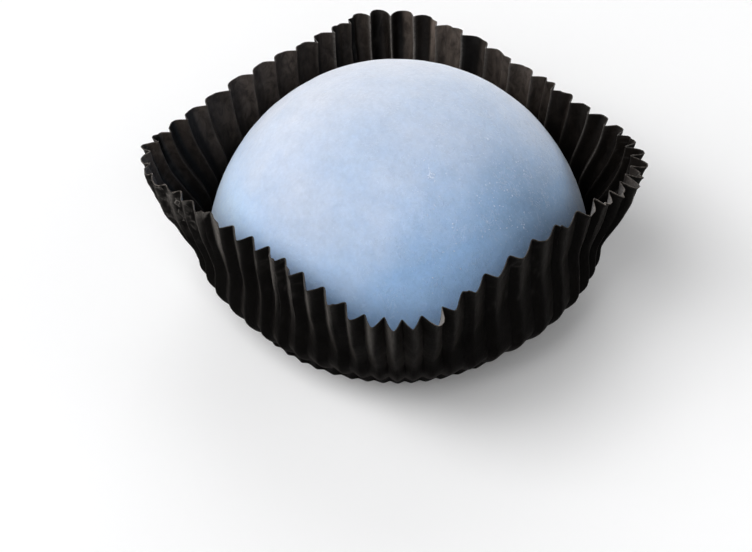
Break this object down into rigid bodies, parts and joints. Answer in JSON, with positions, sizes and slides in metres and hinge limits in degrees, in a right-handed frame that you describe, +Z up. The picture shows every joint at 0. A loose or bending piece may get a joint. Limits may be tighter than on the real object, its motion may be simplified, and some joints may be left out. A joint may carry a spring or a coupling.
{
  "type": "mochi in a paper case",
  "caption": "Soft floured rice-cake dome in a black fluted paper case that opens into a rounded-square rim.",
  "frame": {"origin": "middle of the case's flat underside, under the centre of the rim's outline", "axes": "+Z up; the straight sides of the rounded-square rim run along X and Y"},
  "size_m": [0.064, 0.0644, 0.0367],
  "materials": {
    "floured_rice_skin": "matte",
    "black_paper": "satin"
  },
  "bodies": {
    "root": {"mochi": "floured_rice_skin", "paper_case": "black_paper"}
  },
  "joints": []
}
